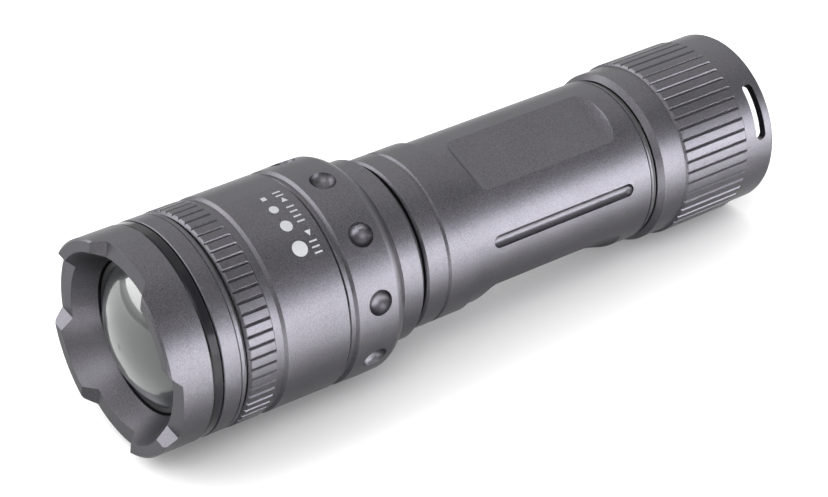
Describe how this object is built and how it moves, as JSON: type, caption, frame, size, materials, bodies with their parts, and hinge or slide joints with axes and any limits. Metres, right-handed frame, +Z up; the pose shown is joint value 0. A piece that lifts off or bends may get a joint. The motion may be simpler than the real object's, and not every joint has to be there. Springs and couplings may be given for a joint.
{
  "type": "flashlight",
  "caption": "Handheld torch with a crowned bezel, twist-to-zoom knurled head, round metal tube with flats and grooves, and a knurled tail cap with a push switch.",
  "frame": {"origin": "on the centre line, halfway between the crown tips and the tail rim", "axes": "+X runs along the centre line from the lens end to the tail cap, +Z is up, -X is the way the beam leaves"},
  "size_m": [0.1184, 0.0344, 0.0344],
  "materials": {
    "anodised_gunmetal": "fine bead-blasted and gunmetal anodised",
    "bare_aluminium": "turned, uncoated",
    "gloss_black_ring": "polished",
    "black_nylon": "matte",
    "black_anodised": "satin black anodised",
    "lens_acrylic": "polished clear",
    "silicone_dome": "clear silicone",
    "phosphor": "matte yellow phosphor on white ceramic",
    "dark_solder_mask": "satin",
    "green_solder_mask": "gloss",
    "brass": "plated",
    "spring_steel": "drawn wire, nickel plated",
    "steel": "zinc plated",
    "wire_insulation": "smooth sleeving",
    "component_black": "moulded",
    "rubber": "matte black",
    "cell_jacket": "shrink sleeve",
    "nickel": "plated"
  },
  "bodies": {
    "torch_body": {"bezel": "anodised_gunmetal", "bezel_ring": "gloss_black_ring", "barrel": "black_anodised", "glide_rings": "black_nylon", "head_collar": "anodised_gunmetal", "led_pill": "brass", "led_board": "dark_solder_mask", "led_emitter": "phosphor", "led_dome": "silicone_dome", "led_screws": "steel", "led_wires": "wire_insulation", "driver_board": "green_solder_mask", "driver_components": "component_black", "driver_spring": "spring_steel", "body_tube": "anodised_gunmetal", "neck_o_ring": "rubber", "tail_o_ring": "rubber"},
    "zoom_ring": {"zoom_sleeve": "anodised_gunmetal"},
    "lens_group": {"lens": "lens_acrylic", "lens_retainer": "black_anodised", "lens_gasket": "rubber", "lens_carrier": "black_anodised", "guide_pins": "steel"},
    "battery_pack": {"cartridge_frame": "component_black", "cell_top": "cell_jacket", "cell_left": "cell_jacket", "cell_right": "cell_jacket", "cell_contacts": "nickel", "cartridge_terminals": "nickel"},
    "tail_assembly": {"tail_cap": "anodised_gunmetal", "boot_ring": "steel", "switch_carrier": "black_nylon", "switch_housing": "component_black", "tail_board": "green_solder_mask", "tail_retainer": "bare_aluminium", "tail_spring": "spring_steel"},
    "button": {"switch_plunger": "black_nylon", "switch_boot": "rubber"}
  },
  "joints": [
    {"name": "zoom_turn", "type": "hinge", "parent": "torch_body", "child": "zoom_ring", "pos_m": [0, 0, 0], "axis": [1, 0, 0], "range_deg": [0, 90]},
    {"name": "lens_slide", "type": "slide", "parent": "torch_body", "child": "lens_group", "axis": [1, 0, 0], "range_m": [0, 0.006]},
    {"name": "tail_cap_pull", "type": "slide", "parent": "torch_body", "child": "tail_assembly", "axis": [1, 0, 0], "range_m": [0, 0.11]},
    {"name": "battery_slide", "type": "slide", "parent": "torch_body", "child": "battery_pack", "axis": [1, 0, 0], "range_m": [0, 0.055]},
    {"name": "button_press", "type": "slide", "parent": "tail_assembly", "child": "button", "axis": [-1, 0, 0], "range_m": [0, 0.0015], "stiffness_N_per_m": 1200, "springref_m": -0.001}
  ],
  "couplings": [
    {"joint": "zoom_turn", "follows": "lens_slide", "rad_per_m": 261.79},
    {"joint": "battery_slide", "follows": "tail_cap_pull", "ratio": 0.5}
  ]
}
